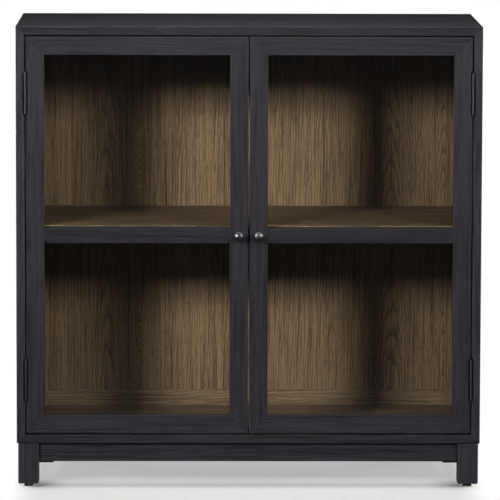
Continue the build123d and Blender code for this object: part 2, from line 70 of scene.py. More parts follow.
# ---- Charcoal oak ----
# The outside is oak, brushed with a wire brush so that its soft pores open, stained charcoal and
# sealed with a flat lacquer. Handling lightens its arrises, and stain gathers in its joints.
CHARCOAL = ((0.0010, 0.0010, 0.0016), (0.0141, 0.0130, 0.0174), (0.035, 0.034, 0.036))
RING_PITCH = 0.0052  # from one year's growth to the next
TRUNK_TAPER = 0.020  # how far a ring closes in for each metre up the trunk
WANDER, RIPPLE = 0.024, 0.004  # how far a ring strays, slowly and quickly
# Cells of noise in a metre: along the grain, across it and through the board.
WANDER_CELLS, RIPPLE_CELLS, PORE_CELLS = (2.2, 16, 16), (16, 70, 70), (40, 1500, 1500)
FIBRE_CELLS, STREAK_CELLS, RUB_CELLS = (6, 240, 240), (1.3, 34, 34), (30, 60, 60)


def wire(tree, kind, sockets=(), **settings):
    """A node of that kind with its settings, each socket filled by a value or another socket."""
    node = tree.nodes.new(kind)
    for name, value in settings.items():
        setattr(node, name, value)
    for name, value in dict(sockets).items():
        if isinstance(value, bpy.types.NodeSocket):
            tree.links.new(value, node.inputs[name])
        else:
            node.inputs[name].default_value = value
    return node


def sums(tree, operation, first, second=0.0, third=0.0):
    """One step of arithmetic between sockets or numbers."""
    return wire(
        tree, "ShaderNodeMath", {0: first, 1: second, 2: third}, operation=operation
    ).outputs[0]


def ramp(tree, value, *stops):
    """A curve through (position, brightness) stops."""
    node = wire(tree, "ShaderNodeValToRGB", {"Fac": value})
    elements = node.color_ramp.elements
    while len(elements) < len(stops):
        elements.new(0.5)
    for element, (position, brightness) in zip(elements, stops):
        element.position = position
        element.color = (brightness, brightness, brightness, 1)
    return node.outputs["Color"]


def blended(tree, factor, first, second, how="MIX"):
    """Two colours, mixed by a factor."""
    node = wire(tree, "ShaderNodeMix", {0: factor}, data_type="RGBA", blend_type=how)
    for socket, value in ((node.inputs[6], first), (node.inputs[7], second)):
        if isinstance(value, bpy.types.NodeSocket):
            tree.links.new(value, socket)
        else:
            socket.default_value = (*value, 1)
    return node.outputs[2]


def grainy(tree, place, stretch, detail=2.0, seed=0.0):
    """Noise whose cells are stretched, as a number near 0.5: cells per metre on each axis."""
    scaled = wire(
        tree,
        "ShaderNodeVectorMath",
        {0: place, 1: stretch, 2: (seed, seed, seed)},
        operation="MULTIPLY_ADD",
    ).outputs[0]
    sockets = {"Vector": scaled, "Scale": 1.0, "Detail": detail, "Roughness": 0.6}
    return wire(tree, "ShaderNodeTexNoise", sockets).outputs["Fac"]


def blank_finish(name):
    """A material with no nodes but its output, and the tree to wire it in."""
    finish = bpy.data.materials.new(name)
    finish.use_nodes = True
    tree = finish.node_tree
    tree.nodes.clear()
    return finish, tree, tree.nodes.new("ShaderNodeOutputMaterial")


def coated(tree, out, colour, rough, relief, strength, depth, sockets=()):
    """Ends a material with one shader, whose surface is dented to that depth by a relief."""
    dented = wire(
        tree, "ShaderNodeBump", {"Height": relief, "Strength": strength, "Distance": depth}
    ).outputs["Normal"]
    looks = {"Base Color": colour, "Roughness": rough, "Normal": dented, **dict(sockets)}
    shader = wire(tree, "ShaderNodeBsdfPrincipled", looks)
    tree.links.new(shader.outputs[0], out.inputs["Surface"])


def oak(name, stain, sheen, ring_share, pore_share, fibre_share, bump, sawn=True):
    """Solid oak. Rings are the distance from the pith, which tapers up the trunk and wanders by
    slow noise; each ring jumps to its dark porous early wood and pales to its late wood. Pores
    are fine noise drawn out along the grain, and streaks are slow noise along it. Arrises are
    rubbed to the worn colour and joint grooves are darkened. The shares say how much of the
    colour each pattern takes away, and sheen is how rough the darkest wood is."""
    deep, body, worn = stain
    finish, tree, out = blank_finish(name)
    if sawn:
        place = wire(tree, "ShaderNodeAttribute", attribute_name="trunk").outputs["Vector"]
    else:
        place = wire(tree, "ShaderNodeTexCoord").outputs["Object"]
    axes = wire(tree, "ShaderNodeSeparateXYZ", {"Vector": place}).outputs
    from_pith = sums(
        tree,
        "POWER",
        sums(tree, "ADD", sums(tree, "POWER", axes[1], 2.0), sums(tree, "POWER", axes[2], 2.0)),
        0.5,
    )
    wander = sums(tree, "SUBTRACT", grainy(tree, place, WANDER_CELLS, 2.0), 0.5)
    ripple = sums(tree, "SUBTRACT", grainy(tree, place, RIPPLE_CELLS, 1.0, 3.0), 0.5)
    lean = wire(tree, "ShaderNodeAttribute", attribute_name="lean").outputs["Fac"]
    grown = sums(tree, "MULTIPLY_ADD", axes[0], TRUNK_TAPER, from_pith)
    grown = sums(tree, "ADD", grown, lean)
    grown = sums(tree, "MULTIPLY_ADD", wander, WANDER, grown)
    grown = sums(tree, "MULTIPLY_ADD", ripple, RIPPLE, grown)
    year = sums(tree, "FRACT", sums(tree, "DIVIDE", grown, RING_PITCH))
    ring = ramp(tree, year, (0.0, 0.0), (0.30, 0.75), (0.88, 1.0), (1.0, 0.12))
    pores = ramp(tree, grainy(tree, place, PORE_CELLS, 1.0, 7.0), (0.40, 0.0), (0.56, 1.0))
    fibres = grainy(tree, place, FIBRE_CELLS, 4.0, 11.0)
    streaks = grainy(tree, place, STREAK_CELLS, 4.0, 17.0)
    light = sums(tree, "MULTIPLY_ADD", ring, ring_share, 1 - ring_share)
    for pattern, share, least in (
        (pores, pore_share, 1 - pore_share),
        (fibres, fibre_share, 1 - fibre_share / 2),
        (streaks, 1.3, 0.35),
    ):
        paler = sums(tree, "MULTIPLY_ADD", pattern, share, least)
        light = sums(tree, "MULTIPLY", light, paler)
    tone = wire(tree, "ShaderNodeAttribute", attribute_name="tone").outputs["Fac"]
    colour = blended(tree, light, deep, body)
    # Each piece's tone scales its colour: partly its own take of the stain, partly painted light and
    # shade over a whole piece.
    colour = blended(tree, 1.0, colour, sums(tree, "ADD", tone, 1.0), "MULTIPLY")
    edge = wire(tree, "ShaderNodeAttribute", attribute_name="edge").outputs["Fac"]
    rub = ramp(tree, grainy(tree, place, RUB_CELLS, 3.0, 23.0), (0.42, 0.0), (0.72, 1.0))
    rubbed = sums(tree, "MULTIPLY", sums(tree, "MAXIMUM", edge, 0.0), rub)
    colour = blended(tree, sums(tree, "MULTIPLY", rubbed, 0.5), colour, worn)
    joint = sums(tree, "MAXIMUM", sums(tree, "MULTIPLY", edge, -1.0), 0.0)
    seam = sums(tree, "MULTIPLY", joint, 0.7)
    colour = blended(tree, seam, colour, tuple(0.3 * c for c in deep))
    rough = sums(tree, "MULTIPLY_ADD", light, -0.16, sheen)
    relief = sums(tree, "ADD", sums(tree, "MULTIPLY", ring, 0.4), pores)
    relief = sums(tree, "MULTIPLY_ADD", fibres, 0.8, relief)
    flat_lacquer = {"Specular IOR Level": 0.12}
    coated(tree, out, colour, rough, relief, strength=0.6, depth=bump, sockets=flat_lacquer)
    return finish


brushed = {"sheen": 0.62, "ring_share": 0.50, "pore_share": 0.45, "fibre_share": 4.6, "bump": 0.0004}
charcoal_oak = oak("charcoal_oak", CHARCOAL, **brushed)
charcoal_block = oak("charcoal_oak_block", CHARCOAL, sawn=False, **brushed)


# ---- Legs ----
# Four square legs of solid oak, one under each corner of the case. Their feet are chamfered all
# round, and a nylon glide is screwed under each.
ARRIS = 0.0010
JOINT_ARRIS = 0.00035  # the fine groove left where two boards meet
FOOT_CHAMFER = 0.003
LEG_ARRIS = 0.0015
ALL_ARRISES = tuple(range(12))
SAWN_APART = 2.37  # how far along the trunk from one board to the next
RIGHT, BACK, UP = np.eye(3)
sawn_count = 0


def extent(node):
    """The lowest and the highest corner of a piece of the frame."""
    return [np.array(corner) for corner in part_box(node)]


def section(corners, radii, turns=3):
    """A board's outline from its (across, through) corners, listed so that its wood is on the
    left. A corner p between edges with outward normals m and n becomes the arc
    p - r (m + n) + r (m cos a + n sin a), for a from 0 to 90 degrees. It comes with the outward
    move of each point for an even inset, and with the number of each point's corner."""
    corners = np.array(corners, float)
    radii = np.broadcast_to(np.array(radii, float), len(corners))
    ahead = np.roll(corners, -1, axis=0) - corners
    ahead /= np.maximum(np.linalg.norm(ahead, axis=1, keepdims=True), 1e-9)
    after = np.stack([ahead[:, 1], -ahead[:, 0]], axis=1)
    before = np.roll(after, 1, axis=0)
    turn = np.linspace(0, math.pi / 2, turns + 1)[None, :, None]
    swept = before[:, None] * np.cos(turn) + after[:, None] * np.sin(turn)
    round_off = radii[:, None, None]
    points = corners[:, None] - round_off * (before + after)[:, None] + round_off * swept
    square = (before + after)[:, None] / (1 + (before * after).sum(1))[:, None, None]
    moves = np.where(round_off > 0, swept, square + 0 * swept)
    corner_of = np.repeat(np.arange(len(corners)), turns + 1)
    return points.reshape(-1, 2), moves.reshape(-1, 2), corner_of


def strips(rings, count):
    """The four-cornered faces between each ring of count points and the next."""
    ring, step = np.meshgrid(np.arange(rings - 1), np.arange(count), indexing="ij")
    following = (step + 1) % count
    around = [
        ring * count + step,
        ring * count + following,
        (ring + 1) * count + following,
        (ring + 1) * count + step,
    ]
    return np.stack(around, axis=-1)


def board(
    outline,
    ends,
    axes,
    origin,
    pith,
    changes=(),
    end_arris=(JOINT_ARRIS, JOINT_ARRIS),
    worn_ends=(False, False),
    inner=None,
    arris_corners=(),
    end_turns=3,
    leaves=(),
):
    """A board: its section carried from end to end along the grain. A point (a, t) of the
    section sits at origin + s * along + a * across + t * through, where s at each end is
    place + slope_a * a + slope_t * t, so a sloping end is a mitre. Towards an end the section
    shrinks by e (1 - sin v) at e (1 - cos v) from it, which rounds the end by e.
    changes are (s, section) pairs where the section steps, and pith is where the trunk's middle
    lies in (across, through). leaves gives the face that starts at each corner of the section
    a pith of its own, and how fast its rings lean as it rises. Returns corners, faces and what
    each face carries."""
    global sawn_count
    sawn_count += 1
    points, moves, corner_of = outline
    count = len(points)
    v = np.linspace(0, math.pi / 2, end_turns + 1)
    shapes, lengths, kinds = [], [], []
    for end, sign, e, worn in zip(ends, (1, -1), end_arris, worn_ends):
        place, slope_a, slope_t = end
        inset = e * (1 - np.sin(v))[:, None, None]
        shape = points[None] - inset * moves[None]
        s = place + shape[..., 0] * slope_a + shape[..., 1] * slope_t
        s = s + sign * e * (1 - np.cos(v))[:, None]
        order = slice(None) if sign > 0 else slice(None, None, -1)
        shapes.append(shape[order])
        lengths.append(s[order])
        kinds.append(np.full(end_turns, 1.0 if worn else -1.0))
    if changes:
        shapes.insert(1, np.array([shape for _, shape in changes]))
        lengths.insert(1, np.array([np.full(count, s) for s, _ in changes]))
    shape = np.concatenate(shapes)
    s = np.concatenate(lengths)
    rings = len(shape)
    along, across, through = axes
    corners = origin + s[..., None] * along + shape[..., :1] * across + shape[..., 1:] * through
    quads = strips(rings, count)
    arris = (corner_of == np.roll(corner_of, -1)) & np.isin(corner_of, arris_corners)
    edge = np.broadcast_to(arris.astype(float), quads.shape[:2]).copy()
    edge[:end_turns] = kinds[0][:, None]
    edge[len(edge) - end_turns :] = kinds[1][:, None]
    middle = (shape + np.roll(shape, -1, axis=1))[:-1] / 2
    inside = np.zeros(quads.shape[:2], int) if inner is None else inner(middle).astype(int)
    handed = np.linalg.det(np.array(axes)) < 0
    start, finish = np.arange(count), (rings - 1) * count + np.arange(count)
    faces = quads.reshape(-1, 4)
    caps = [start, finish[::-1]]
    if handed:
        faces = faces[:, ::-1]
        caps = [cap[::-1] for cap in caps]
    grown = np.concatenate([s[..., None], shape], axis=-1).reshape(-1, 3)
    own = np.tile(np.array([*pith, 0.0]), (count, 1))
    if len(leaves):
        own = np.array(leaves, float)[np.minimum(corner_of, len(leaves) - 1)]
    own = np.tile(own, (rings - 1, 1))[:, None]
    trunk = grown[faces].copy()
    lean = trunk[..., 0] * own[..., 2]
    trunk[..., 1:] -= own[..., :2]
    ends_trunk = grown[np.concatenate(caps)] - (0, *pith)
    trunk = np.concatenate([trunk.reshape(-1, 3), ends_trunk])
    trunk[:, 0] += SAWN_APART * sawn_count
    faces = faces.tolist() + [cap.tolist() for cap in caps]
    return {
        "corners": corners.reshape(-1, 3),
        "faces": faces,
        "trunk": trunk,
        "lean": np.append(lean.ravel(), np.zeros(2 * count)),
        "edge": np.append(edge.reshape(-1), (0.0, 0.0)),
        "finish": np.append(inside.reshape(-1), (0, 0)),
    }


def made(name, parts, finishes, body, replaces, tone=0.0):
    """One piece from its parts: their corners and faces joined into one mesh, and points that
    fall together merged. Each face corner carries its place in the trunk, its edge kind and
    its tone, which is how much paler or darker this piece is coloured than its neighbours:
    partly how this wood took the stain, and partly painted light and shade, where a whole
    piece is lightened or darkened for how light falls on it."""
    offsets = np.cumsum([0] + [len(part["corners"]) for part in parts])
    corners = np.concatenate([part["corners"] for part in parts])
    faces = [
        [int(offset) + corner for corner in face]
        for part, offset in zip(parts, offsets)
        for face in part["faces"]
    ]
    mesh = bpy.data.meshes.new(name)
    mesh.from_pydata(corners.tolist(), [], faces)
    sizes = np.array([len(face) for face in faces])
    if "trunk" in parts[0]:
        trunk = np.concatenate([part["trunk"] for part in parts])
        lean = np.concatenate([part["lean"] for part in parts])
        edge = np.repeat(np.concatenate([part["edge"] for part in parts]), sizes)
        mesh.attributes.new("trunk", "FLOAT_VECTOR", "CORNER").data.foreach_set(
            "vector", trunk.astype(np.float32).ravel()
        )
        for kind, values in (("edge", edge), ("lean", lean), ("tone", 0 * edge + tone)):
            mesh.attributes.new(kind, "FLOAT", "CORNER").data.foreach_set(
                "value", values.astype(np.float32)
            )
        slots = np.concatenate([part["finish"] for part in parts])
        mesh.polygons.foreach_set("material_index", slots.astype(np.int32))
    mesh.polygons.foreach_set("use_smooth", np.ones(len(faces), bool))
    for finish in finishes:
        mesh.materials.append(finish)
    mesh.update()
    merged = bmesh.new()
    merged.from_mesh(mesh)
    bmesh.ops.remove_doubles(merged, verts=merged.verts, dist=1e-6)
    merged.to_mesh(mesh)
    merged.free()
    piece = bpy.data.objects.new(name, mesh)
    scene.collection.objects.link(piece)
    flat = piece.modifiers.new("flat faces", "WEIGHTED_NORMAL")
    flat.keep_sharp = True
    flat.weight = 100
    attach(piece, body)
    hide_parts(*replaces)
    return piece


def rectangle(width, thickness, radius=ARRIS):
    """The section of a plain board, with all four arrises eased."""
    return section([(0, 0), (width, 0), (width, thickness), (0, thickness)], radius)


for name in ("front_left", "front_right", "rear_left", "rear_right"):
    low, high = extent(f"{name}_leg")
    made(
        f"{name}_leg",
        [
            board(
                rectangle(high[0] - low[0], high[1] - low[1], LEG_ARRIS),
                ((0, 0, 0), (high[2] - low[2], 0, 0)),
                (UP, RIGHT, BACK),
                low,
                pith=(0.11, 0.05),
                end_arris=(FOOT_CHAMFER, JOINT_ARRIS),
                worn_ends=(True, False),
                arris_corners=ALL_ARRISES,
                end_turns=1,
            )
        ],
        [charcoal_oak],
        "case",
        [f"{name}_leg"],
        # The legs are lightened most: painted light, for the light that a pale floor throws up onto
        # them.
        tone=0.75,
    )


# ---- Glides ----
# Round black nylon feet, turned with a small bevel where they meet the floor and recessed for
# the screw that holds each one.
GLIDE_EDGE = 0.0015
GLIDE_RECESS, GLIDE_RECESS_RADIUS = 0.0025, 0.0034
AROUND = 48  # points in each ring of a turned piece
ROUND_MIDDLE = 0.3  # how far in from its corner a rounded edge's middle lies, for a radius of 1


def nylon():
    """Moulded black nylon: a fine matt texture, scuffed grey where it slides on the floor."""
    finish, tree, out = blank_finish("black_nylon")
    place = wire(tree, "ShaderNodeTexCoord").outputs["Object"]
    mould = grainy(tree, place, (2500, 2500, 2500), 2.0)
    scuff = ramp(tree, grainy(tree, place, (500, 120, 300), 3.0), (0.5, 0.0), (0.75, 1.0))
    colour = blended(
        tree, sums(tree, "MULTIPLY", scuff, 0.5), (0.010, 0.010, 0.011), (0.05, 0.05, 0.05)
    )
    rough = sums(tree, "MULTIPLY_ADD", scuff, 0.25, 0.45)
    coated(tree, out, colour, rough, mould, strength=0.3, depth=0.0002)
    return finish


def turned(outline, centre, axis):
    """A turned piece: (radius, height) points of its outline spun about the axis through
    centre, so a point is centre + h * axis + r (cos u * side + sin u * top). The first and last
    points lie on the axis, where the piece is closed."""
    outline = np.array(outline, float)
    u = np.linspace(0, 2 * math.pi, AROUND, endpoint=False)
    side = np.array(RIGHT if abs(axis[0]) < 0.5 else BACK)
    top = np.cross(axis, side)
    r, h = outline[:, 0][:, None, None], outline[:, 1][:, None, None]
    spun = r * (np.cos(u)[None, :, None] * side + np.sin(u)[None, :, None] * top)
    corners = np.array(centre) + h * np.array(axis) + spun
    faces = strips(len(outline), AROUND).reshape(-1, 4).tolist()
    return {"corners": corners.reshape(-1, 3), "faces": faces}


black_nylon = nylon()
for name in ("front_left", "front_right", "rear_left", "rear_right"):
    low, high = extent(f"{name}_glide")
    centre, radius, height = (low + high) / 2, (high[0] - low[0]) / 2, high[2] - low[2]
    made(
        f"{name}_glide",
        [
            turned(
                [
                    (0, GLIDE_RECESS),
                    (GLIDE_RECESS_RADIUS, GLIDE_RECESS),
                    (GLIDE_RECESS_RADIUS, 0),
                    (radius - GLIDE_EDGE, 0),
                    (radius - ROUND_MIDDLE * GLIDE_EDGE, ROUND_MIDDLE * GLIDE_EDGE),
                    (radius, GLIDE_EDGE),
                    (radius, height),
                    (0, height),
                ],
                (centre[0], centre[1], low[2]),
                UP,
            )
        ],
        [black_nylon],
        "case",
        [f"{name}_glide"],
    )


# ---- Aprons and corner blocks ----
# A charcoal oak rail between each pair of legs, set back from their faces. Inside each corner an
# oak block is screwed to two aprons, and a hanger bolt through it pulls the leg in.
for name, across in (("front", RIGHT), ("rear", RIGHT), ("left", BACK), ("right", BACK)):
    low, high = extent(f"{name}_apron")
    size = high - low
    thick = BACK if across is RIGHT else RIGHT
    made(
        f"{name}_apron",
        [
            board(
                rectangle(size[2], size @ thick),
                ((0, 0, 0), (size @ across, 0, 0)),
                (across, -UP, thick),
                np.array([low[0], low[1], high[2]]),
                pith=(0.09, 0.06),
                arris_corners=(1, 2),
            )
        ],
        [charcoal_oak],
        "case",
        [f"{name}_apron"],
    )


def dressed(node, finish):
    """A piece of the frame that shows as it is, in its own finish."""
    nodes[node].data.materials.clear()
    nodes[node].data.materials.append(finish)


dressed("corner_blocks", charcoal_block)


# ---- Bolts, nuts and screws ----
# The bolts and nuts inside the base, the countersunk wood screws, the shelf's pins and the
# doors' strikes: zinc-plated steel with a soft bluish shine, duller in patches.
def steel(name, colour, dull, rough, spotted):
    """Plated or blackened steel: slow patches of tarnish and fine turning marks."""
    finish, tree, out = blank_finish(name)
    place = wire(tree, "ShaderNodeTexCoord").outputs["Object"]
    patches = ramp(tree, grainy(tree, place, (90, 90, 90), 4.0), (0.38, 0.0), (0.68, 1.0))
    marks = grainy(tree, place, (1400, 1400, 1400), 2.0, 5.0)
    tone = blended(tree, sums(tree, "MULTIPLY", patches, spotted), colour, dull)
    gloss = sums(tree, "MULTIPLY_ADD", patches, 0.16, rough)
    coated(tree, out, tone, gloss, marks, strength=0.25, depth=0.0001, sockets={"Metallic": 1.0})
    return finish


plated_steel = steel(
    "plated_steel", colour=(0.56, 0.56, 0.58), dull=(0.30, 0.29, 0.27), rough=0.28, spotted=0.7
)
for node in (
    "leg_bolts",
    "leg_nuts",
    "base_screws",
    "glide_screws",
    "back_screws",
    "catch_screws",
    "shelf_pins",
    "left_door_strike",
    "right_door_strike",
    "left_door_knob_screw",
    "right_door_knob_screw",
):
    dressed(node, plated_steel)


# ---- Case ----
# Four oak panels mitred together at the corners. The outer faces and edges are charcoal and the
# inner faces brown; a rebate round the back takes the framed back.
BROWN = ((0.0075, 0.0038, 0.0018), (0.170, 0.1060, 0.0545), (0.36, 0.25, 0.15))
REBATE_DEEP, REBATE_LAP = 0.017, 0.009
NOTCH_WIDE, NOTCH_DEEP = 0.0039, 0.003  # the relief cut for a hinge's barrel
LEAF_DEEP, LEAF_WIDE = 0.0009, 0.0165  # the shallow seat of a hinge's leaf
LEAF_HALF, NOTCH_HALF = 0.04485, 0.0478
PIN_HALF = 0.046  # half of a hinge's pin, with its cap
SPARE_CORNER = 0.010  # along the arris, so that each kind of section has as many corners
PAINT_LINE = 0.0235  # the black outside runs in behind the doors this far
SLACK = 0.0001  # for telling one face from the next

brown_oak = oak(
    "brown_oak", BROWN, sheen=0.66, ring_share=0.62, pore_share=0.52, fibre_share=3.4, bump=0.0002
)


def hinge_corner(kind, place):
    """The five corners of a section at its hinge arris: whole, notched for the barrel, or
    notched and let in for the leaf. place turns (behind the front, in from the edge) into the
    section's own (across, through)."""
    whole = [(LEAF_WIDE, 0), (SPARE_CORNER, 0), (NOTCH_DEEP, 0), (0, 0), (0, NOTCH_WIDE)]
    notched = whole[:3] + [(NOTCH_DEEP, NOTCH_WIDE), (0, NOTCH_WIDE)]
    let_in = [
        (LEAF_WIDE, 0),
        (LEAF_WIDE, LEAF_DEEP),
        (NOTCH_DEEP, LEAF_DEEP),
        (NOTCH_DEEP, NOTCH_WIDE),
        (0, NOTCH_WIDE),
    ]
    kinds = {"whole": whole, "notched": notched, "let_in": let_in}
    return [place(*corner) for corner in kinds[kind]]


def hinge_steps(sections, foot):
    """The stations where a section steps at each hinge: in to the notch, in to the leaf's seat
    and out again, as (distance from foot, section) pairs."""
    low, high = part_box("hinge_pins")
    steps = []
    for middle in (low[2] + PIN_HALF - foot, high[2] - PIN_HALF - foot):
        for offset, kinds in (
            (-NOTCH_HALF, ("whole", "notched")),
            (-LEAF_HALF, ("notched", "let_in")),
            (LEAF_HALF, ("let_in", "notched")),
            (NOTCH_HALF, ("notched", "whole")),
        ):
            steps += [(middle + offset, sections[kind]) for kind in kinds]
    return steps


case_low, case_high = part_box("top_panel")
half_width, depth, thickness = case_high[0], case_high[1] - case_low[1], case_high[2] - case_low[2]
front_y = case_low[1]
case_foot, case_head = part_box("bottom_panel")[0][2], case_high[2]


def panel_section(kind=None):
    """A case panel's section: across is behind the front, through is in from its outer face."""
    if kind is None:
        front = [(0, thickness)]
        radii = [ARRIS, ARRIS, 0, 0, 0, 0, ARRIS]
    else:
        front = hinge_corner(kind, lambda behind, into: (behind, thickness - into))
        radii = [ARRIS, ARRIS, 0, 0, 0, 0, 0, 0, 0, ARRIS if kind == "whole" else 0, 0]
    return section(
        [
            (0, 0),
            (depth, 0),
            (depth, thickness - REBATE_LAP),
            (depth - REBATE_DEEP, thickness - REBATE_LAP),
            (depth - REBATE_DEEP, thickness),
            (PAINT_LINE, thickness),
            *front,
        ],
        radii,
    )


def case_inside(middle):
    """True where a panel's face is brown: its inner face, behind the paint line."""
    return (middle[..., 1] > thickness - SLACK) & (middle[..., 0] > PAINT_LINE + SLACK)


for name, pith in (("top", (0.20, 0.075)), ("bottom", (0.28, 0.09))):
    foot, down = (case_head, -UP) if name == "top" else (case_foot, UP)
    made(
        f"{name}_panel",
        [
            board(
                panel_section(),
                ((-half_width, 0, 1), (half_width, 0, -1)),
                (RIGHT, BACK, down),
                np.array([0, front_y, foot]),
                pith=pith,
                inner=case_inside,
                arris_corners=(0, 1, 6),
            )
        ],
        [charcoal_oak, brown_oak],
        "case",
        [f"{name}_panel"],
        # These tones lighten or darken whole panels: partly their own stain, partly painted light and
        # shade.
        tone=-0.42 if name == "top" else -0.10,
    )

for name, side, pith in (("left", -1, (0.15, 0.085)), ("right", 1, (0.33, 0.07))):
    panels = {kind: panel_section(kind) for kind in ("whole", "notched", "let_in")}
    stations = [(s, shape) for s, (shape, _, _) in hinge_steps(panels, case_foot)]
    made(
        f"{name}_side_panel",
        [
            board(
                panels["whole"],
                ((0, 0, 1), (case_head - case_foot, 0, -1)),
                (UP, BACK, -side * RIGHT),
                np.array([side * half_width, front_y, case_foot]),
                pith=pith,
                changes=stations,
                inner=case_inside,
                arris_corners=(0, 1, 9),
            )
        ],
        [charcoal_oak, brown_oak],
        "case",
        [f"{name}_side_panel"],
        # The sides are lightened, the left more than the right: partly their own stain, partly painted
        # light.
        tone=0.42 - 0.09 * side,
    )


# ---- Back ----
# A frame of two stiles and two rails holds a panel a little behind its own face. Inside, all of
# it is brown oak, and the panel's veneer is laid in leaves with their figure upright.
PANEL_LAP, PANEL_THICK = 0.008, 0.012
BACK_BROWN = 0.0101  # how far behind its front the frame is brown
VENEER_ARRIS = 0.0002
for name, across in (
    ("left_stile", RIGHT),
    ("right_stile", -RIGHT),
    ("bottom_rail", UP),
    ("top_rail", -UP),
):
    low, high = extent(f"back_{name}")
    size, grain = high - low, UP if "stile" in name else RIGHT
    width, deep = abs(size @ across), size[1]
    rebated = [(width - PANEL_LAP, deep - PANEL_THICK), (width - PANEL_LAP, deep)]
    whole = [(width, deep), (width - PANEL_LAP, deep)]
    shapes = [
        section(
            [(0, 0), (width, 0), (width, deep - PANEL_THICK), *step, (0, deep)],
            [0, ARRIS * 0.5, 0, 0, 0, 0],
        )
        for step in (rebated, whole)
    ]
    stops = []
    if "stile" in name:
        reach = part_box("back_bottom_rail")[1][2] - low[2] - PANEL_LAP
        head = size[2] - reach
        stops = [(reach, shapes[1][0]), (reach, shapes[0][0]), (head, shapes[0][0])]
        stops.append((head, shapes[1][0]))
    made(
        f"back_{name}",
        [
            board(
                shapes[1 if stops else 0],
                ((0, 0, 0), (size @ grain, 0, 0)),
                (grain, across, BACK),
                np.where(across < 0, high, low),
                pith=(0.12, -0.05),
                changes=stops,
                inner=lambda middle: middle[..., 1] < BACK_BROWN,
                arris_corners=(1,),
            )
        ],
        [charcoal_oak, brown_oak],
        "case",
        [f"back_{name}"],
    )

# Each leaf of veneer: where it starts, how far from there and how far in front of it the
# trunk's middle lay, and how fast its rings lean as it rises.
LEAVES = (
    (-0.46, 0.300, 0.090, 0.01),
    (-0.375, 0.054, 0.030, 0.035),
    (-0.262, 0.021, 0.006, 0.30),
    (-0.195, 0.230, 0.060, 0.03),
    (0.00, 0.260, 0.080, 0.02),
    (0.195, -0.120, 0.070, 0.02),
    (0.262, 0.066, 0.034, 0.06),
    (0.392, 0.060, 0.018, 0.09),
)
low, high = extent("back_panel")
edges = [leaf[0] - low[0] for leaf in LEAVES[1:]]
width, deep = high[0] - low[0], high[1] - low[1]
outline = section(
    [(0, 0), *[(edge, 0) for edge in edges], (width, 0), (width, deep), (0, deep)], 0
)
leaves = [(start - low[0] + beside, -near, lean) for start, beside, near, lean in LEAVES]
panel = board(
    outline,
    ((0, 0, 0), (high[2] - low[2], 0, 0)),
    (UP, RIGHT, BACK),
    low,
    pith=(0, 0),
    end_arris=(VENEER_ARRIS, VENEER_ARRIS),
    inner=lambda middle: middle[..., 1] < 0.5 * deep,
    leaves=leaves,
)
made("back_panel", [panel], [charcoal_oak, brown_oak], "case", ["back_panel"])


# ---- Shelf ----
# One loose board of brown oak with eased arrises, laid on four pins let into the sides. Its
# flat front face is charcoal, and its front arrises are rubbed paler: partly wear, partly a
# painted highlight along the front.
SHELF_ARRIS = 0.002
SHELF_EDGE = 0.00001  # the charcoal stops this far behind the front
low, high = extent("shelf")
made(
    "shelf",
    [
        board(
            section(
                [
                    (0, 0),
                    (high[1] - low[1], 0),
                    (high[1] - low[1], high[2] - low[2]),
                    (0, high[2] - low[2]),
                ],
                [SHELF_ARRIS, ARRIS, ARRIS, ARRIS],
            ),
            ((0, 0, 0), (high[0] - low[0], 0, 0)),
            (RIGHT, BACK, -UP),
            np.array([low[0], low[1], high[2]]),
            pith=(0.25, 0.10),
            end_arris=(ARRIS, ARRIS),
            worn_ends=(True, True),
            inner=lambda middle: middle[..., 0] > SHELF_EDGE,
            # The front arrises are rubbed paler: partly wear, partly a painted highlight along the
            # front.
            arris_corners=(0, 3),
        )
    ],
    [charcoal_oak, brown_oak],
    "shelf",
    ["shelf"],
    tone=-0.12,
)


